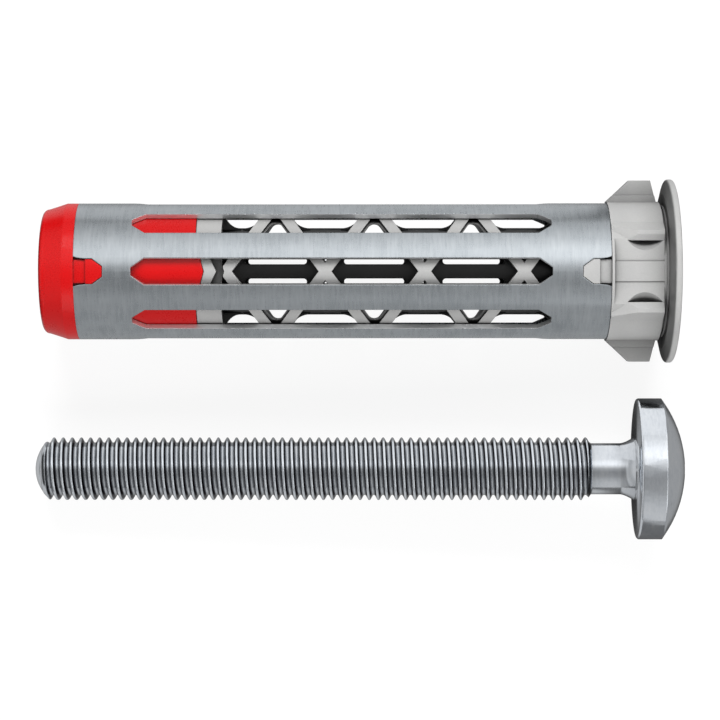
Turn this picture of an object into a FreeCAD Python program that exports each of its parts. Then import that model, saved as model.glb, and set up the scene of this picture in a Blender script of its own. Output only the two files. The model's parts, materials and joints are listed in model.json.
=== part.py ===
import FreeCAD, Part
import math
import os

# A metal hollow wall anchor lying beside its machine screw.
# The anchor is modelled along X: x = 0 is the seat of the flange, the tip points to -X,
# +Z is the face that shows the pad, and the two wings of the collar point to +Y and -Y.
# All lengths are in millimetres.

# Metal sleeve, rolled from zinc-plated sheet
SLEEVE_LENGTH = 49.15
SLEEVE_RADIUS = 6.35
SHEET = 0.5
STRIP_COUNT = 8
WINDOW_SHARE = 0.5
WINDOW_FROM_TIP = 5.22
WINDOW_FROM_COLLAR = 5.4
WINDOW_POINT = 1.22
WINDOW_BLUNT = 0.36
SEAM_GAP = 0.06

# Notches in both ends of the sleeve, front and back, where the plastic pieces lock
NOTCH_DEPTH = 2.67
NOTCH_WIDTH = 2.36
NOTCH_MOUTH = 2.76
NOTCH_FLARE = 0.95
NOTCH_POINT = 0.95
NOTCH_BLUNT = 0.96
NOTCH_CURVE = 0.38
NOTCH_CURVE_WIDTH = 0.07

# Red end cap with its plug, and the nut that is moulded into it
CAP_LENGTH = 3.3
CAP_RIM = 1.1
CAP_END_RADIUS = 5.8
CAP_EDGE = 0.5
PLUG_LENGTH = 11.85
CROWN_SLOPE = 0.27
CROWN_HALF = 2.8
NUT_ACROSS_FLATS = 8.4
NUT_LENGTH = 6.0
NUT_COVER = 1.2
NUT_EDGE = 0.25

# Cage and collar, one grey moulding
TUBE_WALL = 0.84
NODE_COUNT = 4
NODE_PITCH = 9.1
NODE_FROM_SEAT = 13.49
LEG_SLOPE = 0.742
LEG_WIDTH = 1.17
ROD_WIDTH = 1.32
CELL_MARGIN = 0.33
CELL_CORNER = 0.3
ARCH_ROUND = 0.7
VALLEY_LENGTH = 1.0
BLOCK_VALLEY_LENGTH = 1.6
VALLEY_THICKNESS = 2.4
VALLEY_ROOT = 0.4
VALLEY_LAP = 0.04
ARCH_WEB_DROP = 0.4
ARCH_WEB_DEPTH = 2.2
DRAIN_RADIUS = 0.14
DRAIN_OFFSET = 1.1
HEAD_BLOCK_END = 0.35
HEAD_BLOCK_HORN = 0.05
HEAD_BLOCK_HOLLOW = 0.45
HEAD_BLOCK_MIDDLE = 0.2
GROOVE_START = 1.16
GROOVE_WIDTH = 0.74
GROOVE_DEPTH = 0.85
GROOVE_SLOPE = 0.48
GROOVE_REACH = 2.6
ROOT_BLOCK_LENGTH = 4.6

COLLAR_LENGTH = 4.82
COLLAR_RADIUS = 6.49
NECK_LENGTH = 0.69
NECK_RADIUS = 6.16
NECK_STEP = 0.25
NECK_STEP_LENGTH = 0.45
FLANGE_RADIUS = 8.57
FLANGE_THICKNESS = 0.65
FLANGE_EDGE = 0.22
FLANGE_RISE = 0.3
FLANGE_ROOT_RADIUS = 7.2
MOUTH_CHAMFER = 0.35

WING_SPAN = 8.45
WING_THICKNESS = 1.6
WING_RAMP = 2.09
WING_TOP = 1.96
WING_BACK = 0.5
WING_ROOT_HEIGHT = 0.55
WING_ROOT_EXTRA = 0.25

FIELD_HEIGHT = 5.75
FIELD_LIP = 0.24
RAIL_OUTER = 4.5
RAIL_SHOULDER = 3.77
RAIL_EDGE = 3.4
RAIL_INNER = 2.82
RAIL_HEIGHT = 6.05
RAIL_START_HEIGHT = 5.3
RAIL_RAMP = 2.35
RAIL_SLANT = 0.95
SCOOP_RADIUS = 2.5
SCOOP_DEPTH = 0.8
SCOOP_REACH = 0.9
SCOOP_BACK = 0.1
SCOOP_WIDTH = 3.3
PAD_LENGTH = 4.5
PAD_WIDTH = 1.82
PAD_RISE = 0.1

# Machine screw, M6
THREAD_RADIUS = 2.965
THREAD_LENGTH = 51.65
THREAD_CHAMFER = 0.55
POINT_LENGTH = 0.85
POINT_RADIUS = 2.36
SHANK_RADIUS = 2.41
SHANK_LENGTH = 2.72
FLARE_LENGTH = 1.3
HEAD_GAP = 0.26
HEAD_RADIUS = 6.64
HEAD_RIM = 2.55
HEAD_DOME = 2.0
HEAD_EDGE = 0.22
RECESS_ACROSS = 3.6
RECESS_DEPTH = 2.3
RECESS_SLOT = 0.95
RECESS_TAPER = 0.42
RECESS_FLOOR_SHARE = 0.7

# Fits
SLIP = 0.05
RIB_CLEARANCE = 0.12
BORE_CLEARANCE = 0.235
CAP_BORE_EXTRA = 0.3
NUT_BORE_RADIUS = 2.5

# How the two lie on the ground
AXIS_SPACING = 18.55
ANCHOR_INSET = 1.5
ANCHOR_ROLL = 2.7

V = FreeCAD.Vector
X_AXIS = V(1, 0, 0)
Z_AXIS = V(0, 0, 1)
ORIGIN = V(0, 0, 0)

SLEEVE_BORE = SLEEVE_RADIUS - SHEET
SLEEVE_TOP = -NECK_LENGTH - COLLAR_LENGTH
SLEEVE_TIP = SLEEVE_TOP - SLEEVE_LENGTH
ANCHOR_TIP = SLEEVE_TIP - CAP_LENGTH
BORE_RADIUS = THREAD_RADIUS + BORE_CLEARANCE
TUBE_RADIUS = BORE_RADIUS + TUBE_WALL
RIB_RADIUS = SLEEVE_BORE - RIB_CLEARANCE
PLUG_RADIUS = SLEEVE_BORE - SLIP
CROWN = SLEEVE_TIP + PLUG_LENGTH
REACH = 2.0 * FLANGE_RADIUS


def rod(start, end, radius):
    return Part.makeCylinder(radius, end - start, V(start, 0, 0), X_AXIS)


def ring(start, end, outer, inner):
    return rod(start, end, outer).cut(rod(start, end, inner))


def turned(points):
    """Turn a closed outline of (x, radius) points about X."""
    edges = []
    for start, middle, end in outline_steps(points):
        if middle is None:
            edges.append(Part.makeLine(start, end))
        else:
            edges.append(Part.Arc(start, middle, end).toShape())
    face = Part.Face(Part.Wire(edges))
    return face.revolve(ORIGIN, X_AXIS, 360)


def outline_steps(points):
    """Pair up an outline; a point written ("arc", x, r) is the middle of an arc."""
    steps = []
    count = len(points)
    index = 0
    while index < count:
        start = points[index]
        following = points[(index + 1) % count]
        if following[0] == "arc":
            end = points[(index + 2) % count]
            steps.append((V(start[0], start[1], 0), V(following[1], following[2], 0), V(end[0], end[1], 0)))
            index += 2
        else:
            steps.append((V(start[0], start[1], 0), None, V(following[0], following[1], 0)))
            index += 1
    return steps


def plate(points, low, high):
    """Extrude an (x, y) outline along Z."""
    corners = [V(x, y, low) for x, y in points]
    face = Part.Face(Part.makePolygon(corners + corners[:1]))
    return face.extrude(V(0, 0, high - low))


def mirrored(points):
    """Add the half of an outline that lies below the axis."""
    return points + [(x, -y) for x, y in reversed(points) if y > 0]


def fused(shapes):
    return shapes[0].multiFuse(shapes[1:]).removeSplitter()


def turned_about_x(shape, degrees):
    copy = shape.copy()
    copy.rotate(ORIGIN, X_AXIS, degrees)
    return copy


def only_solid(shape):
    """The largest solid, clear of slivers that a cut leaves."""
    solids = sorted(shape.Solids, key=lambda solid: solid.Volume)
    return solids[-1]


def window_outline(radius, height):
    """A window of the sleeve, with pointed ends, as it measures at one radius."""
    half = math.tan(math.pi * WINDOW_SHARE / STRIP_COUNT) * radius
    blunt = WINDOW_BLUNT * radius / SLEEVE_RADIUS
    left = SLEEVE_TIP + WINDOW_FROM_TIP
    right = SLEEVE_TOP - WINDOW_FROM_COLLAR
    upper = [(left, blunt), (left + WINDOW_POINT, half), (right - WINDOW_POINT, half), (right, blunt)]
    corners = [V(x, y, height) for x, y in mirrored(upper)]
    return Part.makePolygon(corners + corners[:1])


def window_cutter():
    low = SLEEVE_BORE - SHEET
    high = SLEEVE_RADIUS + SHEET
    return Part.makeLoft([window_outline(low, low), window_outline(high, high)], True, True)


def notch_outline(end, inward):
    """A locking notch that opens at one end of the sleeve and flares at its mouth."""
    blunt = NOTCH_BLUNT / 2.0
    half = NOTCH_WIDTH / 2.0
    mouth = NOTCH_MOUTH / 2.0
    upper = [
        (end - inward * SHEET, mouth),
        (end, mouth),
        (end + inward * NOTCH_CURVE, half + NOTCH_CURVE_WIDTH),
        (end + inward * NOTCH_FLARE, half),
        (end + inward * (NOTCH_DEPTH - NOTCH_POINT), half),
        (end + inward * NOTCH_DEPTH, blunt),
    ]
    return mirrored(upper)


def metal_sleeve():
    sleeve = ring(SLEEVE_TIP, SLEEVE_TOP, SLEEVE_RADIUS, SLEEVE_BORE)
    window = window_cutter()
    pitch = 360.0 / STRIP_COUNT
    cutters = [turned_about_x(window, index * pitch) for index in range(STRIP_COUNT)]
    for end, inward in ((SLEEVE_TIP, 1), (SLEEVE_TOP, -1)):
        cutters.append(plate(notch_outline(end, inward), -REACH, REACH))
    half_seam = SEAM_GAP / 2.0
    seam = [(SLEEVE_TIP, half_seam), (SLEEVE_TOP, half_seam)]
    cutters.append(plate(mirrored(seam), -REACH, 0))
    return only_solid(sleeve.cut(cutters))


def locking_tabs(end, inward, root):
    """Two tabs that fill the notches at one end of the sleeve, each a head on a sunk neck."""
    half = NOTCH_WIDTH / 2.0 - SLIP
    blunt = NOTCH_BLUNT / 2.0 - SLIP * 0.5
    tip = NOTCH_DEPTH - SLIP
    shoulder = NOTCH_DEPTH - NOTCH_POINT - SLIP
    head_start = NOTCH_FLARE + 3.0 * SLIP
    head = [
        (end + inward * head_start, half),
        (end + inward * shoulder, half),
        (end + inward * tip, blunt),
    ]
    neck_half = half - SLIP
    neck = [(end - inward * root, neck_half), (end + inward * head_start, neck_half)]
    low = min(end - inward * root, end + inward * tip)
    high = max(end - inward * root, end + inward * tip)
    head_ring = ring(low, high, SLEEVE_RADIUS - SLIP, PLUG_RADIUS - SHEET)
    neck_ring = ring(low, high, SLEEVE_RADIUS - SHEET / 2.0, PLUG_RADIUS - SHEET)
    head_tabs = plate(mirrored(head), -REACH, REACH).common(head_ring)
    neck_tabs = plate(mirrored(neck), -REACH, REACH).common(neck_ring)
    return [head_tabs, neck_tabs]


def nut_body():
    """The six-sided nut before it is threaded, and the room that it takes in the cap."""
    across = NUT_ACROSS_FLATS / 2.0
    corner = across / math.cos(math.pi / 6.0)
    start = ANCHOR_TIP + NUT_COVER
    angles = [math.radians(30.0 + 60.0 * side) for side in range(6)]
    points = [V(start, corner * math.sin(angle), corner * math.cos(angle)) for angle in angles]
    prism = Part.Face(Part.makePolygon(points + points[:1])).extrude(V(NUT_LENGTH, 0, 0))
    rounding = turned([
        (start, 0),
        (start, corner - NUT_EDGE * 2.0),
        (start + NUT_EDGE, corner),
        (start + NUT_LENGTH - NUT_EDGE, corner),
        (start + NUT_LENGTH, corner - NUT_EDGE * 2.0),
        (start + NUT_LENGTH, 0),
    ])
    return prism.common(rounding)


def threaded_nut():
    start = ANCHOR_TIP + NUT_COVER
    end = start + NUT_LENGTH
    lead = THREAD_RADIUS - NUT_BORE_RADIUS
    bore = rod(start, end, NUT_BORE_RADIUS)
    leads = [
        Part.makeCone(THREAD_RADIUS, NUT_BORE_RADIUS, lead, V(start, 0, 0), X_AXIS),
        Part.makeCone(NUT_BORE_RADIUS, THREAD_RADIUS, lead, V(end - lead, 0, 0), X_AXIS),
    ]
    return only_solid(nut_body().cut([bore] + leads))


def crown_plate(ridge, low):
    """Everything on the tip's side of the roof-shaped joint between plug and cage."""
    drop = ridge - CROWN_SLOPE * CROWN_HALF
    half = [(low, REACH), (drop, REACH), (drop, CROWN_HALF), (ridge, 0.0)]
    return plate(mirrored(half), -REACH, REACH)


def end_cap():
    taper = CAP_LENGTH - CAP_EDGE
    bend = CAP_EDGE * (1.0 - math.sqrt(0.5))
    outside = turned([
        (SLEEVE_TIP, 0),
        (SLEEVE_TIP, SLEEVE_RADIUS),
        (SLEEVE_TIP - CAP_RIM, SLEEVE_RADIUS),
        (SLEEVE_TIP - taper, CAP_END_RADIUS),
        ("arc", ANCHOR_TIP + bend, CAP_END_RADIUS - bend),
        (ANCHOR_TIP, CAP_END_RADIUS - CAP_EDGE),
        (ANCHOR_TIP, 0),
    ])
    plug = rod(SLEEVE_TIP, CROWN, PLUG_RADIUS).common(crown_plate(CROWN, ANCHOR_TIP))
    cap = fused([outside, plug] + locking_tabs(SLEEVE_TIP, 1, CAP_RIM / 2.0))
    bore = rod(ANCHOR_TIP, CROWN, BORE_RADIUS + CAP_BORE_EXTRA)
    return only_solid(cap.cut([bore, nut_body()]))


def node_places():
    """Where the ribs cross, from the collar towards the tip."""
    return [-NODE_FROM_SEAT - NODE_PITCH * index for index in range(NODE_COUNT)]


def leg(start, side, turn):
    """One slanting rib from a crossing to beyond the cage, seen from the front."""
    half = LEG_WIDTH / 2.0
    rise = NODE_PITCH / 2.0 / LEG_SLOPE
    run = side * NODE_PITCH / 2.0
    points = [
        (start - half, 0.0),
        (start + half, 0.0),
        (start + run + half, turn * rise),
        (start + run - half, turn * rise),
    ]
    return plate(points, -REACH, REACH)


def arch_web(centre, turn):
    """The recessed web that joins two legs under the top of an arch."""
    peak = (NODE_PITCH - LEG_WIDTH) / 2.0 / LEG_SLOPE
    foot = peak - ARCH_WEB_DEPTH
    half = ARCH_WEB_DEPTH * LEG_SLOPE + LEG_WIDTH / 2.0
    points = [(centre - half, turn * foot), (centre + half, turn * foot), (centre, turn * (peak + LEG_WIDTH))]
    return plate(points, -REACH, REACH)


def upright_edges(shape, distance):
    """The straight edges along Z that lie at one distance from the middle plane."""
    found = []
    for edge in shape.Edges:
        ends = [vertex.Point for vertex in edge.Vertexes]
        level = abs(ends[0].x - ends[-1].x) < SLIP and abs(ends[0].z - ends[-1].z) > REACH
        if level and abs(abs(ends[0].y) - distance) < SLIP:
            found.append(edge)
    return found


def valley_web(place, side, slope, length, turn):
    """A thin web that rounds the corner between the guide tube and a rib or block, rooted in both."""
    corner = V(place, turn * TUBE_RADIUS, 0)
    along = V(side, 0, 0)
    rise = V(-side * slope, turn, 0).normalize()
    radius = length * math.tan(along.getAngle(rise) / 2.0)
    centre = corner + along * length + V(0, turn * radius, 0)
    to_tube = V(0, -turn, 0)
    to_rib = (corner + rise * length - centre).normalize()
    to_corner = (corner - centre).normalize()
    centre = centre + to_corner * VALLEY_LAP
    foot = centre + to_tube * radius
    head = centre + to_rib * radius
    root = [
        foot,
        foot + to_tube * VALLEY_ROOT,
        corner + to_corner * VALLEY_ROOT,
        head + to_rib * VALLEY_ROOT,
        head,
    ]
    round_side = Part.Arc(head, centre + to_corner * radius, foot).toShape()
    outline = Part.makePolygon(root).Edges + [round_side]
    web = Part.Face(Part.Wire(outline)).extrude(V(0, 0, VALLEY_THICKNESS))
    web.translate(V(0, 0, -VALLEY_THICKNESS / 2.0))
    return web


def valley_webs():
    places = node_places()
    reach = TUBE_RADIUS * LEG_SLOPE - LEG_WIDTH / 2.0
    webs = []
    for turn in (-1, 1):
        for place in places[:-1]:
            webs.append(valley_web(place - reach, 1, LEG_SLOPE, VALLEY_LENGTH, turn))
        for place in places:
            webs.append(valley_web(place + reach, -1, LEG_SLOPE, VALLEY_LENGTH, turn))
        block_end = places[-1] - HEAD_BLOCK_END
        webs.append(valley_web(block_end, 1, 0.0, BLOCK_VALLEY_LENGTH, turn))
    return webs


def cell_cutter(centre, turn):
    """A rounded three-cornered opening through the cage, between two crossings."""
    base = ROD_WIDTH / 2.0
    half = (NODE_PITCH - LEG_WIDTH) / 2.0 - CELL_MARGIN
    points = [
        (centre - half + LEG_SLOPE * base, turn * base),
        (centre + half - LEG_SLOPE * base, turn * base),
        (centre, turn * half / LEG_SLOPE),
    ]
    prism = plate(points, -REACH, REACH)
    arch = prism.makeFillet(ARCH_ROUND, upright_edges(prism, half / LEG_SLOPE))
    return arch.makeFillet(CELL_CORNER, upright_edges(arch, base))


def lattice():
    """Crossed ribs moulded on the guide tube, front and back alike."""
    places = node_places()
    legs = []
    for place in places:
        for side in (-1, 1):
            for turn in (-1, 1):
                if place != places[-1] or side > 0:
                    legs.append(leg(place, side, turn))
    span = (places[-1] - NODE_PITCH, places[0] + NODE_PITCH)
    ribs = fused(legs).common(ring(span[0], span[1], RIB_RADIUS, TUBE_RADIUS - TUBE_WALL / 2.0))
    webs = []
    for place in places[1:]:
        for turn in (-1, 1):
            webs.append(arch_web(place + NODE_PITCH / 2.0, turn))
    web_ring = ring(span[0], span[1], RIB_RADIUS - ARCH_WEB_DROP, TUBE_RADIUS - TUBE_WALL / 2.0)
    return [ribs, Part.makeCompound(webs).common(web_ring)]


def head_block():
    """The block at the cage's tip end, up to its first crossing."""
    end = node_places()[-1]
    block = rod(CROWN - REACH, end - HEAD_BLOCK_END, RIB_RADIUS)
    side = [
        (end - REACH, REACH),
        (end + HEAD_BLOCK_HORN, REACH),
        (end - HEAD_BLOCK_HOLLOW, TUBE_RADIUS - TUBE_WALL),
        (end - HEAD_BLOCK_MIDDLE, 0.0),
    ]
    return block.common(plate(mirrored(side), -REACH, REACH))


def groove_cutters():
    """Two shallow roof-shaped grooves across the head block, front and back."""
    left = CROWN + GROOVE_START
    right = left + GROOVE_WIDTH
    half = [
        (left - GROOVE_SLOPE * GROOVE_REACH, GROOVE_REACH),
        (right - CROWN_SLOPE * GROOVE_REACH, GROOVE_REACH),
        (right, 0.0),
    ]
    groove = half + [(x, -y) for x, y in reversed(half[:-1])] + [(left, 0.0)]
    floor = RIB_RADIUS - GROOVE_DEPTH
    return [plate(groove, floor, REACH), plate(groove, -REACH, -floor)]


def wing(turn):
    """A wing that bites into the wall, with a thicker root."""
    root = COLLAR_RADIUS - SHEET * 2.0
    slope = (WING_SPAN - COLLAR_RADIUS) / WING_RAMP
    back_slope = (WING_SPAN - COLLAR_RADIUS) / WING_BACK
    foot_back = SLEEVE_TOP + WING_RAMP + WING_TOP + WING_BACK
    blade = [
        (SLEEVE_TOP, turn * root),
        (SLEEVE_TOP, turn * COLLAR_RADIUS),
        (SLEEVE_TOP + WING_RAMP, turn * WING_SPAN),
        (SLEEVE_TOP + WING_RAMP + WING_TOP, turn * WING_SPAN),
        (foot_back, turn * COLLAR_RADIUS),
        (foot_back, turn * root),
    ]
    step = WING_ROOT_HEIGHT
    foot = [
        (SLEEVE_TOP, turn * root),
        (SLEEVE_TOP, turn * COLLAR_RADIUS),
        (SLEEVE_TOP + step / slope, turn * (COLLAR_RADIUS + step)),
        (foot_back - step / back_slope, turn * (COLLAR_RADIUS + step)),
        (foot_back, turn * COLLAR_RADIUS),
        (foot_back, turn * root),
    ]
    half = WING_THICKNESS / 2.0
    thick = half + WING_ROOT_EXTRA
    return [plate(blade, -half, half), plate(foot, -thick, thick)]


def on_collar(offset):
    """Height of the round collar's surface at a distance from its middle plane."""
    return math.sqrt(COLLAR_RADIUS ** 2 - offset ** 2)


def field_cutter(face):
    """The flat between the rails, which stops short of the collar's end and leaves a lip."""
    outline = mirrored([(SLEEVE_TOP + FIELD_LIP, RAIL_OUTER), (-NECK_LENGTH, RAIL_OUTER)])
    if face > 0:
        return plate(outline, FIELD_HEIGHT, REACH)
    return plate(outline, -REACH, -FIELD_HEIGHT)


def rail(turn, face):
    """A lengthwise rail beside the field, which rises from the lip towards the flange."""
    low = FIELD_HEIGHT - TUBE_WALL * 2.0
    section = [
        (RAIL_OUTER, low),
        (RAIL_OUTER, on_collar(RAIL_OUTER)),
        (RAIL_SHOULDER, RAIL_HEIGHT),
        (RAIL_EDGE, RAIL_HEIGHT),
        (RAIL_INNER, FIELD_HEIGHT),
        (RAIL_INNER, low),
    ]
    start = SLEEVE_TOP
    end = -NECK_LENGTH
    points = [V(start, turn * y, face * z) for y, z in section]
    bar = Part.Face(Part.makePolygon(points + points[:1])).extrude(V(end - start, 0, 0))
    slant = [
        (start, turn * RAIL_OUTER),
        (start, turn * RAIL_SHOULDER),
        (start + RAIL_SLANT, turn * RAIL_INNER),
        (end, turn * RAIL_INNER),
        (end, turn * RAIL_OUTER),
    ]
    side = [
        (start, low),
        (start, RAIL_START_HEIGHT),
        (start + RAIL_RAMP, RAIL_HEIGHT),
        (end, RAIL_HEIGHT),
        (end, low),
    ]
    corners = [V(x, -REACH, face * z) for x, z in side]
    ramp = Part.Face(Part.makePolygon(corners + corners[:1])).extrude(V(0, 2.0 * REACH, 0))
    return bar.common(plate(slant, -REACH, REACH)).common(ramp)


def scoop(turn, face):
    """A slanted round cut in the field, deepest at the rail, that runs out towards the pad."""
    angle = math.atan2(SCOOP_DEPTH, SCOOP_REACH)
    middle = -NECK_LENGTH - SCOOP_WIDTH / 2.0 - SCOOP_BACK
    height = FIELD_HEIGHT - SCOOP_DEPTH + SCOOP_RADIUS / math.cos(angle)
    direction = V(0, -turn * math.cos(angle), face * math.sin(angle))
    reach = 2.0 * SCOOP_RADIUS
    base = V(middle, turn * RAIL_INNER, face * height) - direction * reach
    round_cut = Part.makeCylinder(SCOOP_RADIUS, 2.0 * reach, base, direction)
    field = mirrored([(SLEEVE_TOP, RAIL_INNER), (-NECK_LENGTH, RAIL_INNER)])
    return round_cut.common(plate(field, -REACH, REACH))


def pad(face):
    """The slightly raised plain field in the middle of the flat."""
    half = PAD_WIDTH / 2.0
    outline = mirrored([(-NECK_LENGTH - PAD_LENGTH, half), (-NECK_LENGTH, half)])
    top = FIELD_HEIGHT + PAD_RISE
    if face > 0:
        return plate(outline, SLEEVE_BORE - SHEET, top)
    return plate(outline, -top, SHEET - SLEEVE_BORE)


def collar():
    edge = FLANGE_EDGE
    bend = edge * (1.0 - math.sqrt(0.5))
    body = turned([
        (SLEEVE_TOP, 0),
        (SLEEVE_TOP, COLLAR_RADIUS),
        (-NECK_LENGTH, COLLAR_RADIUS),
        (-NECK_LENGTH, NECK_RADIUS - NECK_STEP),
        (-NECK_STEP_LENGTH, NECK_RADIUS - NECK_STEP),
        (-NECK_STEP_LENGTH, NECK_RADIUS),
        (-FLANGE_RISE, NECK_RADIUS),
        (-FLANGE_RISE, FLANGE_ROOT_RADIUS),
        (0, FLANGE_RADIUS - edge),
        ("arc", bend, FLANGE_RADIUS - bend),
        (edge, FLANGE_RADIUS),
        (FLANGE_THICKNESS - edge, FLANGE_RADIUS),
        ("arc", FLANGE_THICKNESS - bend, FLANGE_RADIUS - bend),
        (FLANGE_THICKNESS, FLANGE_RADIUS - edge),
        (FLANGE_THICKNESS, 0),
    ])
    cuts = []
    details = []
    for face in (-1, 1):
        cuts.append(field_cutter(face))
        details.append(pad(face))
        for turn in (-1, 1):
            cuts.append(scoop(turn, face))
            details.append(rail(turn, face))
    return fused([body.cut(cuts)] + details + wing(1) + wing(-1))


def collar_and_cage():
    places = node_places()
    tube = rod(CROWN - CROWN_HALF, SLEEVE_TOP + COLLAR_LENGTH / 2.0, TUBE_RADIUS)
    root = rod(SLEEVE_TOP - ROOT_BLOCK_LENGTH, SLEEVE_TOP + COLLAR_LENGTH / 2.0, RIB_RADIUS)
    tabs = locking_tabs(SLEEVE_TOP, -1, FIELD_LIP)
    whole = fused([tube, root, head_block(), collar()] + lattice() + valley_webs() + tabs)
    bore = rod(ANCHOR_TIP, FLANGE_THICKNESS, BORE_RADIUS)
    mouth = Part.makeCone(
        BORE_RADIUS, BORE_RADIUS + MOUTH_CHAMFER, MOUTH_CHAMFER,
        V(FLANGE_THICKNESS - MOUTH_CHAMFER, 0, 0), X_AXIS)
    cuts = [bore, mouth, crown_plate(CROWN + SLIP, ANCHOR_TIP)] + groove_cutters()
    for place in places[1:]:
        for turn in (-1, 1):
            cuts.append(cell_cutter(place + NODE_PITCH / 2.0, turn))
    for place in places[:-1]:
        for turn in (-1, 1):
            spot = V(place, turn * DRAIN_OFFSET, -REACH)
            cuts.append(Part.makeCylinder(DRAIN_RADIUS, 2.0 * REACH, spot, Z_AXIS))
    return only_solid(whole.cut(cuts))


def recess_cutter(face):
    """Cross recess in the head, four tapered arms that narrow towards the bottom."""
    arms = []
    top = RECESS_ACROSS / 2.0
    bottom = top - RECESS_DEPTH * RECESS_TAPER
    half_top = RECESS_SLOT / 2.0
    half_bottom = half_top * RECESS_FLOOR_SHARE
    level = ((top, half_top), (bottom, half_bottom))
    upright = ((half_top, top), (half_bottom, bottom))
    for first, second in (level, upright):
        wires = []
        for (across, along), place in ((first, face), (second, face - RECESS_DEPTH)):
            corners = [V(place, a * across, b * along) for a, b in ((1, 1), (-1, 1), (-1, -1), (1, -1))]
            wires.append(Part.makePolygon(corners + corners[:1]))
        arms.append(Part.makeLoft(wires, True, True))
    return fused(arms)


def machine_screw():
    """The screw along X, x = 0 at the underside of its head."""
    edge = HEAD_EDGE
    bend = edge * (1.0 - math.sqrt(0.5))
    dome_foot = HEAD_RADIUS - edge * 1.5
    dome_radius = (dome_foot ** 2 + HEAD_DOME ** 2) / (2.0 * HEAD_DOME)
    half_angle = math.asin(dome_foot / dome_radius) / 2.0
    head_end = HEAD_RIM + HEAD_DOME
    dome_x = head_end - dome_radius * (1.0 - math.cos(half_angle))
    dome_r = dome_radius * math.sin(half_angle)
    thread_end = -HEAD_GAP - FLARE_LENGTH - SHANK_LENGTH
    thread_start = thread_end - THREAD_LENGTH
    point = thread_start - POINT_LENGTH
    point_round = (POINT_RADIUS ** 2 + POINT_LENGTH ** 2) / (2.0 * POINT_LENGTH)
    point_angle = math.asin(POINT_RADIUS / point_round) / 2.0
    point_x = point + point_round * (1.0 - math.cos(point_angle))
    point_r = point_round * math.sin(point_angle)
    body = turned([
        (point, 0),
        ("arc", point_x, point_r),
        (thread_start, POINT_RADIUS),
        (thread_start, THREAD_RADIUS - THREAD_CHAMFER),
        (thread_start + THREAD_CHAMFER, THREAD_RADIUS),
        (thread_end, THREAD_RADIUS),
        (thread_end, SHANK_RADIUS),
        (thread_end + SHANK_LENGTH, SHANK_RADIUS),
        (-HEAD_GAP, THREAD_RADIUS),
        (0, THREAD_RADIUS),
        (0, HEAD_RADIUS - edge),
        ("arc", bend, HEAD_RADIUS - bend),
        (edge, HEAD_RADIUS),
        (HEAD_RIM - edge, HEAD_RADIUS),
        (HEAD_RIM, dome_foot),
        ("arc", dome_x, dome_r),
        (head_end, 0),
    ])
    return only_solid(body.cut(recess_cutter(head_end)))


def laid_down(low_circle, high_circle, roll, shift, side):
    """The pose of a round piece that lies on two of its circles, each given as (x, radius)."""
    run = high_circle[0] - low_circle[0]
    tilt = math.atan2(high_circle[1] - low_circle[1], run)
    height = high_circle[1] * math.cos(tilt) - high_circle[0] * math.sin(tilt)
    lean = FreeCAD.Rotation(V(0, -1, 0), math.degrees(tilt))
    return FreeCAD.Placement(V(shift, side, height), lean.multiply(FreeCAD.Rotation(X_AXIS, roll)))


def side_of_anchor():
    """How far the anchor's axis lies from the middle of the pair."""
    return (AXIS_SPACING + HEAD_RADIUS - FLANGE_RADIUS) / 2.0


def screw_circles():
    low = (-HEAD_GAP - FLARE_LENGTH - SHANK_LENGTH - THREAD_LENGTH + THREAD_CHAMFER, THREAD_RADIUS)
    return low, (HEAD_EDGE, HEAD_RADIUS)


def screw_span():
    """Where the lying screw starts and ends along X, seen from the underside of its head."""
    low, high = screw_circles()
    tilt = math.atan2(high[1] - low[1], high[0] - low[0])
    start = (low[0] - THREAD_CHAMFER - POINT_LENGTH) * math.cos(tilt)
    return start, (HEAD_RIM + HEAD_DOME) * math.cos(tilt)


def screw_pose():
    start, end = screw_span()
    low, high = screw_circles()
    return laid_down(low, high, 0.0, -(start + end) / 2.0, side_of_anchor() - AXIS_SPACING)


def anchor_pose():
    start, end = screw_span()
    shift = (end - start) / 2.0 - ANCHOR_INSET - FLANGE_THICKNESS
    low = (SLEEVE_TIP - CAP_RIM, SLEEVE_RADIUS)
    high = (FLANGE_EDGE, FLANGE_RADIUS)
    return laid_down(low, high, ANCHOR_ROLL, shift, side_of_anchor())


def main():
    os.makedirs("parts", exist_ok=True)
    pieces = {
        "metal_sleeve": (metal_sleeve(), anchor_pose()),
        "end_cap": (end_cap(), anchor_pose()),
        "threaded_nut": (threaded_nut(), anchor_pose()),
        "collar_and_cage": (collar_and_cage(), anchor_pose()),
        "machine_screw": (machine_screw(), screw_pose()),
    }
    for name, (shape, pose) in pieces.items():
        shape.Placement = pose
        shape.exportStep("parts/" + name + ".step")


main()
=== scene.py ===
import json
import math

import bmesh
import bpy
import numpy as np
from mathutils import Matrix, Vector


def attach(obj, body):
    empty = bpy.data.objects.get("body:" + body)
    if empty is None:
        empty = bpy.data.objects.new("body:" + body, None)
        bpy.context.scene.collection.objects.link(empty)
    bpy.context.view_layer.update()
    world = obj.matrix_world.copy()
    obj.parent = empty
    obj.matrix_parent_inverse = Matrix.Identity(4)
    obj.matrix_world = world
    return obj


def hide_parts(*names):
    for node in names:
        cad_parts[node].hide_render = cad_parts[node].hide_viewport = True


MM = 0.001

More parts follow.
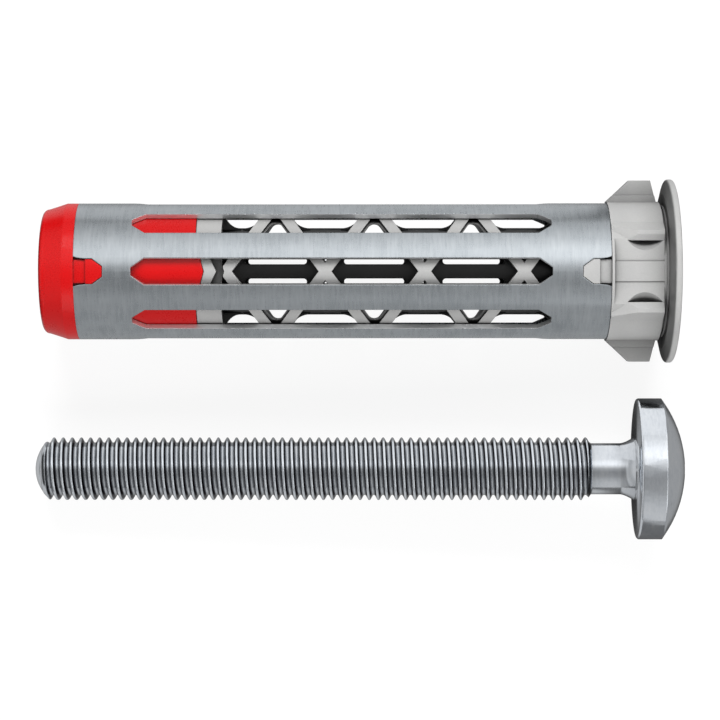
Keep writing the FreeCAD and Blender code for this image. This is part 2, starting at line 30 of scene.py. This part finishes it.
# Machine screw, in millimetres along its own axis, 0 at the underside of the head
THREAD_RADIUS = 2.965
ROOT_RADIUS = 2.478
PITCH = 0.867
THREAD_LENGTH = 51.65
THREAD_CHAMFER = 0.55
THREAD_RUNOUT = 0.4
POINT_LENGTH = 0.85
POINT_RADIUS = 2.36
SHANK_RADIUS = 2.41
SHANK_LENGTH = 2.72
FLARE_LENGTH = 1.3
HEAD_GAP = 0.26
HEAD_RIM = 2.55
HEAD_EDGE = 0.22
EDGE_SUPPORT = 0.03
SEGMENTS = 56
POINT_STEPS = 10
POINT_CENTRE = 0.002
FLARE_STEPS = 8
FLARE_POWER = 1.6
SHARP_ANGLE = 38.0
WELD = 1e-7
LEAST_FACE = 1e-6

# The thread's form from crest to root: part of the pitch and radius
THREAD_FORM = ((0.0, THREAD_RADIUS), (0.05, 2.96), (0.10, 2.93), (0.15, 2.865), (0.34, 2.56), (0.39, 2.505),
               (0.44, 2.483), (0.5, ROOT_RADIUS))

# Painted shade on the screw's surface at distances from its axis, in millimetres: root, flank, crest
THREAD_PAINTED_SHADE = ((2.4, 0.8), (2.52, 0.8), (2.6, 0.07), (2.84, 0.07), (2.91, 1.0), (3.0, 1.0))

# Painted shade on the plastics at distances from the anchor's axis, in millimetres, and how far a surface has
# to face the tip before painted shade dims it
CAGE_PAINTED_SHADE = ((3.1, 0.05), (4.05, 0.12), (4.3, 1.0), (4.87, 1.05), (5.7, 1.0))
CAP_PAINTED_SHADE = ((3.1, 0.3), (5.0, 0.8), (5.7, 1.0))
SLANT = 0.4

# Reach of the painted shade in hollows, in metres, and how many rays look for hollows and edges
PLASTIC_HOLLOW = 0.003
STEEL_HOLLOW = 0.0025
FLOOR_HOLLOW = 0.010
HOLLOW_RAYS = 12
EDGE_RAYS = 6
GRAIN_DEPTH = 0.00003
FINE_GRAIN_DEPTH = 0.00002

# Camera, from points measured in the photo: place in millimetres, turns about Y, X and Z in degrees
CAMERA_PLACE = (-9.668, -2.647, 240.0)
CAMERA_TURNS = (-2.374, 0.654, -0.035)
FOCAL_PIXELS = 2487.67
PHOTO_WIDTH = 720
SENSOR_WIDTH = 36.0
NEAR_LIMIT = 0.01

# Brightness of the light tent at angles round the pieces, from the vertical towards +Y, in degrees
TENT = ((-180, 0.46), (-62, 0.49), (-46, 0.43), (-32, 0.33), (-12, 0.31), (3, 0.46), (14, 0.95), (22, 1.24),
        (33, 1.14), (50, 0.86), (62, 0.68), (75, 0.55), (100, 0.5), (180, 0.42))

# What a direction's lean along X does to the tent, and what reflections see there besides
TENT_ALONG = ((-1.0, 0.02), (-0.75, 0.1), (-0.5, 0.9), (-0.35, 0.9), (-0.22, 0.95), (0.0, 1.0), (0.14, 1.62),
              (0.25, 1.4), (0.45, 1.0), (0.8, 0.6), (1.0, 0.5))
END_GLOW = ((-1.0, 0.7), (-0.88, 0.7), (-0.8, 0.45), (-0.64, 0.45), (-0.56, 0.0), (0.56, 0.0), (0.64, 1.1),
            (0.80, 1.1), (0.88, 0.2), (1.0, 0.2))

# The tent's level for all rays, and its share of that for light on matt surfaces
TENT_GAIN = 0.85
DIFFUSE_GAIN = 0.3

# Floor: the glow it gives off in reflections at places along X in millimetres, a painted reflection that is
# dimmer at the left end and around x = 25 to 33 mm, and how it looks to the camera
FLOOR_IN_REFLECTIONS = ((-60.0, 0.02), (-39.0, 0.02), (-36.0, 0.55), (23.5, 0.55), (25.5, 0.13), (33.0, 0.13),
                        (36.0, 0.32), (60.0, 0.32))
FLOOR_BOUNCE = 0.12
FLOOR_WHITE = 0.9
FLOOR_SHADOW = 0.14
FLOOR_MATT_IN_REFLECTIONS = 0.02
FLOOR_SIZE = 6.0
FLOOR_DROP = 0.00002

# Card between the pieces, in millimetres: its ends, its step, its place along Y and its heights, then its
# glow on the screw's side and on the anchor's side
CARD_LEFT = -34.0
CARD_STEP = 25.5
CARD_RIGHT = 34.0
CARD_Y = -0.4
CARD_LOW = 0.4
CARD_RAISED = 7.8
CARD_TOP = 16.5
SCREW_CARD = 0.9
ANCHOR_CARD = 0.36

# Soft lights: angle from the vertical towards +Y in degrees, sides in metres, watts
KEY_LIGHT = (48.0, 0.35, 0.2, 2.75)
FILL_LIGHT = (-53.0, 0.5, 0.3, 2.15)
LIGHT_DISTANCE = 0.5
LIGHT_TARGET = (0.0, 0.0, 0.006)

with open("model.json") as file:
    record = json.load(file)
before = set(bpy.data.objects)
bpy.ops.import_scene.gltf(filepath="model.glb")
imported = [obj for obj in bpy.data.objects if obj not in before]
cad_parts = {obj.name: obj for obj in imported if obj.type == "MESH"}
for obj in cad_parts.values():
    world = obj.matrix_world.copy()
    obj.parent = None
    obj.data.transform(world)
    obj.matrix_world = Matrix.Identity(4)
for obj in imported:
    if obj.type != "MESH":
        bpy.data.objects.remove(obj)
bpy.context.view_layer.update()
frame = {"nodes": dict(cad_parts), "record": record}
nodes = frame["nodes"]
mounts = {mount["name"]: mount for mount in frame["record"]["mounts"]}


# Node helpers

def new_material(name):
    material = bpy.data.materials.new(name)
    material.use_nodes = True
    material.node_tree.nodes.clear()
    return material, material.node_tree


def add(tree, kind, **values):
    node = tree.nodes.new(kind)
    for name, value in values.items():
        setattr(node, name, value)
    return node


def link(tree, start, end):
    tree.links.new(start, end)


def math_node(tree, operation, first, second=0.0):
    node = add(tree, "ShaderNodeMath", operation=operation)
    for index, value in enumerate((first, second)):
        if isinstance(value, (int, float)):
            node.inputs[index].default_value = value
        else:
            link(tree, value, node.inputs[index])
    return node.outputs[0]


def ramp(tree, value, stops):
    node = add(tree, "ShaderNodeValToRGB")
    elements = node.color_ramp.elements
    while len(elements) < len(stops):
        elements.new(0.5)
    for element, (place, color) in zip(elements, stops):
        element.position = place
        element.color = (*color, 1.0)
    link(tree, value, node.inputs[0])
    return node.outputs[0]


def noise(tree, coordinates, scale, detail, roughness):
    node = add(tree, "ShaderNodeTexNoise")
    node.inputs["Scale"].default_value = scale
    node.inputs["Detail"].default_value = detail
    node.inputs["Roughness"].default_value = roughness
    link(tree, coordinates, node.inputs["Vector"])
    return node.outputs["Fac"]


def object_coordinates(tree, stretch=(1.0, 1.0, 1.0), tilt=0.0):
    """Coordinates in metres along the piece's own axis, stretched for streaks."""
    source = add(tree, "ShaderNodeTexCoord")
    turn = add(tree, "ShaderNodeMapping", vector_type="POINT")
    turn.inputs["Rotation"].default_value = (0.0, tilt, 0.0)
    link(tree, source.outputs["Object"], turn.inputs["Vector"])
    scale = add(tree, "ShaderNodeMapping", vector_type="POINT")
    scale.inputs["Scale"].default_value = stretch
    link(tree, turn.outputs[0], scale.inputs["Vector"])
    return scale.outputs[0]


def bump(tree, height, strength, distance, normal):
    node = add(tree, "ShaderNodeBump")
    node.inputs["Strength"].default_value = strength
    node.inputs["Distance"].default_value = distance
    link(tree, height, node.inputs["Height"])
    link(tree, normal, node.inputs["Normal"])
    return node.outputs[0]


def hollow_shade(tree, distance, power):
    """Painted shade: a factor below 1 in hollows, where less light gets in."""
    node = add(tree, "ShaderNodeAmbientOcclusion", samples=HOLLOW_RAYS)
    node.inputs["Distance"].default_value = distance
    return math_node(tree, "POWER", node.outputs["AO"], power)


def shaded(tree, color, factor):
    node = add(tree, "ShaderNodeMix", data_type="RGBA", blend_type="MULTIPLY")
    node.inputs[0].default_value = 1.0
    link(tree, color, node.inputs[6])
    link(tree, factor, node.inputs[7])
    return node.outputs[2]


def soft_edge(tree, radius):
    node = add(tree, "ShaderNodeBevel", samples=EDGE_RAYS)
    node.inputs["Radius"].default_value = radius
    return node.outputs[0]


def principled(tree, **values):
    shader = add(tree, "ShaderNodeBsdfPrincipled")
    for name, value in values.items():
        socket = shader.inputs[name.replace("_", " ")]
        if isinstance(value, (int, float, tuple)):
            socket.default_value = value
        else:
            link(tree, value, socket)
    output = add(tree, "ShaderNodeOutputMaterial")
    link(tree, shader.outputs[0], output.inputs["Surface"])


# Materials

def along_axis(tree, axis, output="Object"):
    """Positions or normals in the frame of a round piece, x along its axis."""
    place, tilt = axis
    source = add(tree, "ShaderNodeTexCoord")
    shift = add(tree, "ShaderNodeVectorMath", operation="SUBTRACT")
    link(tree, source.outputs[output], shift.inputs[0])
    shift.inputs[1].default_value = place if output == "Object" else (0.0, 0.0, 0.0)
    turn = add(tree, "ShaderNodeMapping", vector_type="POINT")
    turn.inputs["Rotation"].default_value = (0.0, tilt, 0.0)
    link(tree, shift.outputs[0], turn.inputs["Vector"])
    return turn.outputs[0]


def off_axis(tree, axis):
    """The part of a position that points away from the axis."""
    flat = add(tree, "ShaderNodeVectorMath", operation="MULTIPLY")
    link(tree, along_axis(tree, axis), flat.inputs[0])
    flat.inputs[1].default_value = (0.0, 1.0, 1.0)
    return flat.outputs[0]


def axis_distance(tree, axis):
    length = add(tree, "ShaderNodeVectorMath", operation="LENGTH")
    link(tree, off_axis(tree, axis), length.inputs[0])
    return length.outputs["Value"]


def outward_share(tree, axis):
    """1 where a surface faces straight away from the axis, 0 on cut walls."""
    unit = add(tree, "ShaderNodeVectorMath", operation="NORMALIZE")
    link(tree, off_axis(tree, axis), unit.inputs[0])
    dot = add(tree, "ShaderNodeVectorMath", operation="DOT_PRODUCT")
    link(tree, unit.outputs[0], dot.inputs[0])
    link(tree, along_axis(tree, axis, "Normal"), dot.inputs[1])
    return math_node(tree, "ABSOLUTE", dot.outputs["Value"])


def turned_away(tree, axis, least):
    """Painted shade that dims what faces the tip, where the studio gives little light."""
    parts = add(tree, "ShaderNodeSeparateXYZ")
    link(tree, along_axis(tree, axis, "Normal"), parts.inputs[0])
    beyond = math_node(tree, "SUBTRACT", math_node(tree, "MULTIPLY", parts.outputs["X"], -1.0), SLANT)
    facing = math_node(tree, "MULTIPLY", math_node(tree, "MAXIMUM", beyond, 0.0), 1.0 / (1.0 - SLANT))
    return math_node(tree, "SUBTRACT", 1.0, math_node(tree, "MULTIPLY", facing, 1.0 - least))


def graded(tree, value, stops):
    """A grey level that changes with a distance in millimetres, stops given as (distance, level)."""
    low, high = stops[0][0], stops[-1][0]
    share = add(tree, "ShaderNodeMapRange")
    link(tree, value, share.inputs["Value"])
    share.inputs["From Min"].default_value = low * MM
    share.inputs["From Max"].default_value = high * MM
    levels = [((place - low) / (high - low), (level, level, level)) for place, level in stops]
    return ramp(tree, share.outputs[0], levels)


def zinc_sheet(axis):
    """Zinc-plated sheet with fine rolling streaks round the tube and bare, matt cut edges."""
    material, tree = new_material("zinc_sheet")
    tilt = axis[1]
    streaks = noise(tree, object_coordinates(tree, (1.0, 0.12, 0.12), tilt), 4600.0, 4.0, 0.6)
    bands = noise(tree, object_coordinates(tree, (1.0, 0.2, 0.2), tilt), 1100.0, 3.0, 0.55)
    clouds = noise(tree, object_coordinates(tree, (0.35, 1.0, 1.0), tilt), 420.0, 4.0, 0.6)
    mixed = math_node(tree, "ADD", math_node(tree, "MULTIPLY", streaks, 0.42),
                      math_node(tree, "MULTIPLY", bands, 0.22))
    mixed = math_node(tree, "ADD", mixed, math_node(tree, "MULTIPLY", clouds, 0.36))
    color = ramp(tree, mixed, [(0.3, (0.465, 0.505, 0.54)), (0.5, (0.61, 0.655, 0.69)),
                               (0.7, (0.74, 0.785, 0.82))])
    rough = math_node(tree, "ADD", math_node(tree, "MULTIPLY", mixed, 0.22), 0.17)
    normal = bump(tree, mixed, 0.07, GRAIN_DEPTH, soft_edge(tree, 0.0001))
    skin = add(tree, "ShaderNodeMapRange", interpolation_type="SMOOTHSTEP")
    link(tree, outward_share(tree, axis), skin.inputs["Value"])
    skin.inputs["From Min"].default_value = 0.3
    skin.inputs["From Max"].default_value = 0.8
    cut = add(tree, "ShaderNodeMix", data_type="RGBA")
    link(tree, skin.outputs[0], cut.inputs[0])
    cut.inputs[6].default_value = (0.80, 0.81, 0.82, 1.0)
    link(tree, color, cut.inputs[7])
    metal = math_node(tree, "ADD", math_node(tree, "MULTIPLY", skin.outputs[0], 0.2), 0.8)
    matt = math_node(tree, "MULTIPLY", math_node(tree, "SUBTRACT", 1.0, skin.outputs[0]), 0.12)
    rough = math_node(tree, "ADD", rough, matt)
    principled(tree, Base_Color=cut.outputs[2], Metallic=metal, Roughness=rough, Normal=normal)
    return material


def zinc_steel(axis):
    """Bright zinc-plated steel of the screw and the nut, with painted shade on the flanks and roots of the
    thread and in hollows off it.
    """
    material, tree = new_material("zinc_steel")
    tilt = axis[1]
    grain = noise(tree, object_coordinates(tree, (1.0, 0.3, 0.3), tilt), 4200.0, 4.0, 0.6)
    clouds = noise(tree, object_coordinates(tree, (1.0, 1.0, 1.0), tilt), 420.0, 4.0, 0.6)
    mixed = math_node(tree, "ADD", math_node(tree, "MULTIPLY", grain, 0.4),
                      math_node(tree, "MULTIPLY", clouds, 0.6))
    color = ramp(tree, mixed, [(0.3, (0.68, 0.72, 0.775)), (0.5, (0.80, 0.84, 0.89)),
                               (0.7, (0.885, 0.915, 0.95))])
    # Painted shade: dark flanks and dimmed roots on the thread, darker hollows off the thread
    parts = add(tree, "ShaderNodeSeparateXYZ")
    link(tree, along_axis(tree, axis), parts.inputs[0])
    from_middle = math_node(tree, "ABSOLUTE", parts.outputs["X"])
    threaded = math_node(tree, "LESS_THAN", from_middle, (THREAD_LENGTH - THREAD_CHAMFER) / 2.0 * MM)
    painted_flank_shade = graded(tree, axis_distance(tree, axis), THREAD_PAINTED_SHADE)
    shade = add(tree, "ShaderNodeMix", data_type="RGBA")
    link(tree, threaded, shade.inputs[0])
    link(tree, hollow_shade(tree, STEEL_HOLLOW, 1.3), shade.inputs[6])
    link(tree, painted_flank_shade, shade.inputs[7])
    color = shaded(tree, color, shade.outputs[2])
    rough = math_node(tree, "ADD", math_node(tree, "MULTIPLY", mixed, 0.12), 0.08)
    normal = bump(tree, mixed, 0.12, GRAIN_DEPTH, soft_edge(tree, 0.0001))
    principled(tree, Base_Color=color, Metallic=1.0, Roughness=rough, Normal=normal)
    return material


def plastic(name, axis, dark, light, roughness, edge, hollow_shade_power, sheen, painted_depth_shade, away):
    """Moulded plastic with a fine grain, with painted shade in its hollows, deep inside the sleeve and on
    faces turned to the tip.
    """
    material, tree = new_material(name)
    grain = noise(tree, object_coordinates(tree), 9000.0, 3.0, 0.6)
    clouds = noise(tree, object_coordinates(tree), 300.0, 3.0, 0.5)
    mixed = math_node(tree, "ADD", math_node(tree, "MULTIPLY", grain, 0.5),
                      math_node(tree, "MULTIPLY", clouds, 0.5))
    color = ramp(tree, mixed, [(0.3, dark), (0.7, light)])
    # Painted shade: in hollows, by depth inside the sleeve, and on faces turned to the tip
    color = shaded(tree, color, hollow_shade(tree, PLASTIC_HOLLOW, hollow_shade_power))
    color = shaded(tree, color, graded(tree, axis_distance(tree, axis), painted_depth_shade))
    color = shaded(tree, color, turned_away(tree, axis, away))
    rough = math_node(tree, "ADD", math_node(tree, "MULTIPLY", mixed, 0.12), roughness - 0.06)
    normal = bump(tree, grain, 0.12, FINE_GRAIN_DEPTH, soft_edge(tree, edge))
    principled(tree, Base_Color=color, Roughness=rough, Normal=normal, Specular_IOR_Level=sheen)
    return material


# The screw with its real thread

def thread_radius(part):
    """Radius of the rolled thread at a part of one pitch, 0 at the crest."""
    part = part % 1.0
    part = min(part, 1.0 - part)
    return float(np.interp(part, [stop[0] for stop in THREAD_FORM], [stop[1] for stop in THREAD_FORM]))


def thread_rows():
    """The parts of one pitch, from root to root, at which the thread has a row of points."""
    rising = [-part for part, radius in reversed(THREAD_FORM[1:-1])]
    return rising + [part for part, radius in THREAD_FORM]


def thread_mesh(start, end):
    """A right-hand helix whose rows follow the thread, trimmed at both ends."""
    turns = int((end - start) / PITCH) + 3
    rows = [turn + part for turn in range(-2, turns) for part in thread_rows()]
    per_turn = len(thread_rows())
    places = [start, start + THREAD_CHAMFER, end - THREAD_RUNOUT, end]
    limits = [THREAD_RADIUS - THREAD_CHAMFER, THREAD_RADIUS, THREAD_RADIUS, SHANK_RADIUS]
    points = []
    for row in rows:
        for column in range(SEGMENTS):
            share = column / SEGMENTS
            x = min(max(start + PITCH * (row + share), start), end)
            radius = min(thread_radius(row), float(np.interp(x, places, limits)))
            angle = 2.0 * math.pi * share
            points.append((x, radius * math.cos(angle), radius * math.sin(angle)))
    faces = []
    for index in range(len(rows) - 1):
        for column in range(SEGMENTS):
            a = index * SEGMENTS + column
            d = a + SEGMENTS
            if column < SEGMENTS - 1:
                b, c = a + 1, d + 1
            else:
                b = (index + per_turn) * SEGMENTS
                c = b + SEGMENTS
                if c >= len(points):
                    continue
            xs = [points[corner][0] for corner in (a, b, c, d)]
            if max(xs) - min(xs) > LEAST_FACE:
                faces.append((a, b, c, d))
    return points, faces


def turned_mesh(profile):
    """A surface of revolution through points given as (x, radius)."""
    points = []
    for x, radius in profile:
        for column in range(SEGMENTS):
            angle = 2.0 * math.pi * column / SEGMENTS
            points.append((x, radius * math.cos(angle), radius * math.sin(angle)))
    faces = []
    for index in range(len(profile) - 1):
        for column in range(SEGMENTS):
            after = (column + 1) % SEGMENTS
            low, high = index * SEGMENTS, (index + 1) * SEGMENTS
            faces.append((low + column, low + after, high + after, high + column))
    return points, faces


def screw_matrix():
    """From the screw's own millimetres to the row frame, by its mounts."""
    pin = mounts["screw_thread"]
    axis = -Vector(pin["axis"])
    middle = -HEAD_GAP - FLARE_LENGTH - SHANK_LENGTH - (THREAD_LENGTH - THREAD_CHAMFER) / 2.0
    origin = Vector(pin["pos_m"]) - axis * middle * MM
    across = Vector((0.0, 1.0, 0.0))
    upward = axis.cross(across).normalized()
    turn = Matrix((axis, across, upward)).transposed().to_4x4()
    return Matrix.Translation(origin) @ turn @ Matrix.Scale(MM, 4)


def screw_head(matrix):
    """The head, from the solid's own mesh, cut off behind its flare."""
    head = bmesh.new()
    head.from_mesh(nodes["machine_screw"].data)
    axis = (matrix.to_3x3() @ Vector((1, 0, 0))).normalized()
    place = matrix @ Vector((-HEAD_GAP, 0, 0))
    geometry = head.verts[:] + head.edges[:] + head.faces[:]
    bmesh.ops.bisect_plane(head, geom=geometry, dist=WELD, plane_co=place, plane_no=axis, clear_inner=True)
    for x in (HEAD_EDGE + EDGE_SUPPORT, HEAD_RIM - HEAD_EDGE - EDGE_SUPPORT):
        place = matrix @ Vector((x, 0, 0))
        geometry = head.verts[:] + head.edges[:] + head.faces[:]
        bmesh.ops.bisect_plane(head, geom=geometry, dist=WELD, plane_co=place, plane_no=axis)
    return head


def tip_profile(thread_start):
    """The rounded point up to the thread's first chamfer."""
    point = thread_start - POINT_LENGTH
    round_radius = (POINT_RADIUS ** 2 + POINT_LENGTH ** 2) / (2.0 * POINT_LENGTH)
    round_angle = math.asin(POINT_RADIUS / round_radius)
    profile = []
    for step in range(POINT_STEPS + 1):
        angle = round_angle * step / float(POINT_STEPS)
        profile.append((point + round_radius * (1.0 - math.cos(angle)),
                        max(round_radius * math.sin(angle), POINT_CENTRE)))
    profile.append((thread_start, THREAD_RADIUS - THREAD_CHAMFER))
    return profile


def neck_profile(thread_end):
    """The plain shank and the flare under the head."""
    flare_start = thread_end + SHANK_LENGTH
    profile = [(thread_end, SHANK_RADIUS), (thread_end + EDGE_SUPPORT, SHANK_RADIUS),
               (flare_start - EDGE_SUPPORT, SHANK_RADIUS), (flare_start, SHANK_RADIUS)]
    for step in range(1, FLARE_STEPS + 1):
        share = step / float(FLARE_STEPS)
        profile.append((flare_start + FLARE_LENGTH * share,
                        SHANK_RADIUS + (THREAD_RADIUS - SHANK_RADIUS) * share ** FLARE_POWER))
    return profile


def build_screw(material):
    matrix = screw_matrix()
    thread_end = -HEAD_GAP - FLARE_LENGTH - SHANK_LENGTH
    thread_start = thread_end - THREAD_LENGTH
    tip = turned_mesh(tip_profile(thread_start))
    neck = turned_mesh(neck_profile(thread_end))
    whole = screw_head(matrix)
    for points, faces in (tip, neck, thread_mesh(thread_start, thread_end)):
        piece = bpy.data.meshes.new("piece")
        piece.from_pydata([matrix @ Vector(p) for p in points], [], faces)
        whole.from_mesh(piece)
        bpy.data.meshes.remove(piece)
    bmesh.ops.remove_doubles(whole, verts=whole.verts, dist=WELD)
    bmesh.ops.recalc_face_normals(whole, faces=whole.faces)
    mesh = bpy.data.meshes.new("screw")
    whole.to_mesh(mesh)
    whole.free()
    mesh.shade_smooth()
    mesh.set_sharp_from_angle(angle=math.radians(SHARP_ANGLE))
    mesh.materials.clear()
    mesh.materials.append(material)
    screw = bpy.data.objects.new("screw", mesh)
    bpy.context.scene.collection.objects.link(screw)
    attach(screw, "root")
    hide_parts("machine_screw")


# Studio

def glow_with(tree, strength, matt_value):
    """Light given off plus light thrown back, as one shader."""
    glow = add(tree, "ShaderNodeEmission")
    glow.inputs["Color"].default_value = (1, 1, 1, 1)
    if isinstance(strength, float):
        glow.inputs["Strength"].default_value = strength
    else:
        link(tree, strength, glow.inputs["Strength"])
    weak = add(tree, "ShaderNodeBsdfDiffuse")
    weak.inputs["Color"].default_value = (matt_value, matt_value, matt_value, 1)
    seen = add(tree, "ShaderNodeAddShader")
    link(tree, glow.outputs[0], seen.inputs[0])
    link(tree, weak.outputs[0], seen.inputs[1])
    return seen.outputs[0]


def floor_material():
    """White to the camera with a faint shadow, glowing grey in reflections, with painted shadow under the
    pieces there.
    """
    material, tree = new_material("floor")
    path = add(tree, "ShaderNodeLightPath")
    matt = add(tree, "ShaderNodeBsdfDiffuse")
    matt.inputs["Color"].default_value = (FLOOR_BOUNCE, FLOOR_BOUNCE, FLOOR_BOUNCE, 1)
    place = add(tree, "ShaderNodeSeparateXYZ")
    link(tree, add(tree, "ShaderNodeTexCoord").outputs["Object"], place.inputs[0])
    level = graded(tree, place.outputs["X"], FLOOR_IN_REFLECTIONS)
    # Painted shadow: the floor's glow in reflections is darker under and beside the pieces
    grey = math_node(tree, "MULTIPLY", level, hollow_shade(tree, FLOOR_HOLLOW, 1.9))
    shader = matt.outputs[0]
    for ray, strength, matt_value in (("Is Glossy Ray", grey, FLOOR_MATT_IN_REFLECTIONS),
                                      ("Is Camera Ray", FLOOR_WHITE, FLOOR_SHADOW)):
        mix = add(tree, "ShaderNodeMixShader")
        link(tree, path.outputs[ray], mix.inputs[0])
        link(tree, shader, mix.inputs[1])
        link(tree, glow_with(tree, strength, matt_value), mix.inputs[2])
        shader = mix.outputs[0]
    output = add(tree, "ShaderNodeOutputMaterial")
    link(tree, shader, output.inputs["Surface"])
    return material


def flat_mesh(name, width):
    mesh = bpy.data.meshes.new(name)
    half = width / 2.0
    corners = [(-half, -half, 0), (half, -half, 0), (half, half, 0), (-half, half, 0)]
    mesh.from_pydata(corners, [], [(0, 1, 2, 3)])
    item = bpy.data.objects.new(name, mesh)
    bpy.context.scene.collection.objects.link(item)
    return item


def aimed(item, place):
    item.location = place
    direction = Vector(LIGHT_TARGET) - Vector(place)
    item.rotation_euler = direction.to_track_quat("-Z", "Y").to_euler()


def softbox(name, angle, width, depth, power):
    """A light that reflections don't show; angle is from the vertical towards +Y, in degrees."""
    data = bpy.data.lights.new(name, "AREA")
    data.shape = "RECTANGLE"
    data.size = width
    data.size_y = depth
    data.energy = power
    item = bpy.data.objects.new(name, data)
    bpy.context.scene.collection.objects.link(item)
    turn = math.radians(angle)
    aimed(item, (0.0, LIGHT_DISTANCE * math.sin(turn), LIGHT_DISTANCE * math.cos(turn)))
    item.visible_camera = False
    item.visible_glossy = False


def tent():
    """A light tent: brightness by the angle round the pieces, dark towards both ends."""
    world = bpy.data.worlds.new("tent")
    bpy.context.scene.world = world
    world.use_nodes = True
    tree = world.node_tree
    tree.nodes.clear()
    source = add(tree, "ShaderNodeTexCoord")
    parts = add(tree, "ShaderNodeSeparateXYZ")
    link(tree, source.outputs["Generated"], parts.inputs[0])
    angle = math_node(tree, "ARCTAN2", parts.outputs["Y"], parts.outputs["Z"])
    share = math_node(tree, "ADD", math_node(tree, "MULTIPLY", angle, 0.5 / math.pi), 0.5)
    stops = [((degrees + 180.0) / 360.0, (value, value, value)) for degrees, value in TENT]
    bands = ramp(tree, share, stops)
    along = math_node(tree, "ADD", math_node(tree, "MULTIPLY", parts.outputs["X"], 0.5), 0.5)
    fall = ramp(tree, along, [((place + 1.0) / 2.0, (level, level, level)) for place, level in TENT_ALONG])
    glow = add(tree, "ShaderNodeBackground")
    link(tree, bands, glow.inputs["Color"])
    path = add(tree, "ShaderNodeLightPath")
    dimmed = math_node(tree, "MULTIPLY", path.outputs["Is Diffuse Ray"], 1.0 - DIFFUSE_GAIN)
    gain = math_node(tree, "MULTIPLY", math_node(tree, "SUBTRACT", 1.0, dimmed), TENT_GAIN)
    link(tree, math_node(tree, "MULTIPLY", fall, gain), glow.inputs["Strength"])
    ends = ramp(tree, along, [((place + 1.0) / 2.0, (level, level, level)) for place, level in END_GLOW])
    end_glow = add(tree, "ShaderNodeBackground")
    link(tree, ends, end_glow.inputs["Color"])
    link(tree, path.outputs["Is Glossy Ray"], end_glow.inputs["Strength"])
    both = add(tree, "ShaderNodeAddShader")
    link(tree, glow.outputs[0], both.inputs[0])
    link(tree, end_glow.outputs[0], both.inputs[1])
    white = add(tree, "ShaderNodeBackground")
    white.inputs["Color"].default_value = (1, 1, 1, 1)
    white.inputs["Strength"].default_value = 1.0
    mix = add(tree, "ShaderNodeMixShader")
    link(tree, path.outputs["Is Camera Ray"], mix.inputs[0])
    link(tree, both.outputs[0], mix.inputs[1])
    link(tree, white.outputs[0], mix.inputs[2])
    output = add(tree, "ShaderNodeOutputWorld")
    link(tree, mix.outputs[0], output.inputs["Surface"])


def screw_card():
    """A card between the two pieces that only reflections see, glowing bright towards the screw and grey
    towards the anchor.
    """
    mesh = bpy.data.meshes.new("screw_card")
    corners = [(CARD_LEFT, CARD_LOW), (CARD_STEP, CARD_LOW), (CARD_STEP, CARD_TOP), (CARD_LEFT, CARD_TOP),
               (CARD_STEP, CARD_RAISED), (CARD_RIGHT, CARD_RAISED), (CARD_RIGHT, CARD_TOP)]
    points = [(x * MM, CARD_Y * MM, z * MM) for x, z in corners]
    mesh.from_pydata(points, [], [(0, 1, 2, 3), (4, 5, 6, 2)])
    item = bpy.data.objects.new("screw_card", mesh)
    bpy.context.scene.collection.objects.link(item)
    material, tree = new_material("screw_card")
    glow = add(tree, "ShaderNodeEmission")
    glow.inputs["Color"].default_value = (1, 1, 1, 1)
    glow.inputs["Strength"].default_value = SCREW_CARD
    back = add(tree, "ShaderNodeEmission")
    back.inputs["Color"].default_value = (1, 1, 1, 1)
    back.inputs["Strength"].default_value = ANCHOR_CARD
    side = add(tree, "ShaderNodeNewGeometry")
    mix = add(tree, "ShaderNodeMixShader")
    link(tree, side.outputs["Backfacing"], mix.inputs[0])
    link(tree, glow.outputs[0], mix.inputs[1])
    link(tree, back.outputs[0], mix.inputs[2])
    output = add(tree, "ShaderNodeOutputMaterial")
    link(tree, mix.outputs[0], output.inputs["Surface"])
    mesh.materials.append(material)
    item.visible_camera = False
    item.visible_diffuse = False
    item.visible_shadow = False
    item.visible_transmission = False


def build_studio():
    floor = flat_mesh("floor", FLOOR_SIZE)
    floor.location = (0, 0, -FLOOR_DROP)
    floor.data.materials.append(floor_material())
    tent()
    softbox("key", *KEY_LIGHT)
    softbox("fill", *FILL_LIGHT)
    screw_card()


def build_camera():
    data = bpy.data.cameras.new("camera")
    data.sensor_width = SENSOR_WIDTH
    data.lens = SENSOR_WIDTH * FOCAL_PIXELS / PHOTO_WIDTH
    data.clip_start = NEAR_LIMIT
    item = bpy.data.objects.new("camera", data)
    bpy.context.scene.collection.objects.link(item)
    lean, pitch, roll = (math.radians(value) for value in CAMERA_TURNS)
    turn = Matrix.Rotation(lean, 4, "Y") @ Matrix.Rotation(pitch, 4, "X") @ Matrix.Rotation(roll, 4, "Z")
    place = Vector([value * MM for value in CAMERA_PLACE])
    item.matrix_world = Matrix.Translation(place) @ turn
    bpy.context.scene.camera = item


def give(name, material):
    mesh = nodes[name].data
    mesh.materials.clear()
    mesh.materials.append(material)


anchor_tilt = math.asin(mounts["nut_thread"]["axis"][2])
screw_tilt = math.asin(-mounts["screw_thread"]["axis"][2])
anchor_axis = (mounts["nut_thread"]["pos_m"], anchor_tilt)
screw_axis = (mounts["screw_thread"]["pos_m"], screw_tilt)
steel = zinc_steel(screw_axis)
give("metal_sleeve", zinc_sheet(anchor_axis))
give("threaded_nut", steel)
give("end_cap", plastic("red_plastic", anchor_axis, dark=(0.56, 0.001, 0.002), light=(0.66, 0.003, 0.004),
                        roughness=0.28, edge=0.0002, hollow_shade_power=0.6, sheen=0.5, painted_depth_shade=CAP_PAINTED_SHADE, away=0.75))
give("collar_and_cage", plastic("grey_plastic", anchor_axis, dark=(0.435, 0.435, 0.435),
                                light=(0.52, 0.52, 0.51), roughness=0.34, edge=0.00006, hollow_shade_power=1.15,
                                sheen=0.5, painted_depth_shade=CAGE_PAINTED_SHADE, away=0.3))
build_screw(steel)
build_studio()
build_camera()

scene = bpy.context.scene
scene.view_settings.view_transform = "Standard"
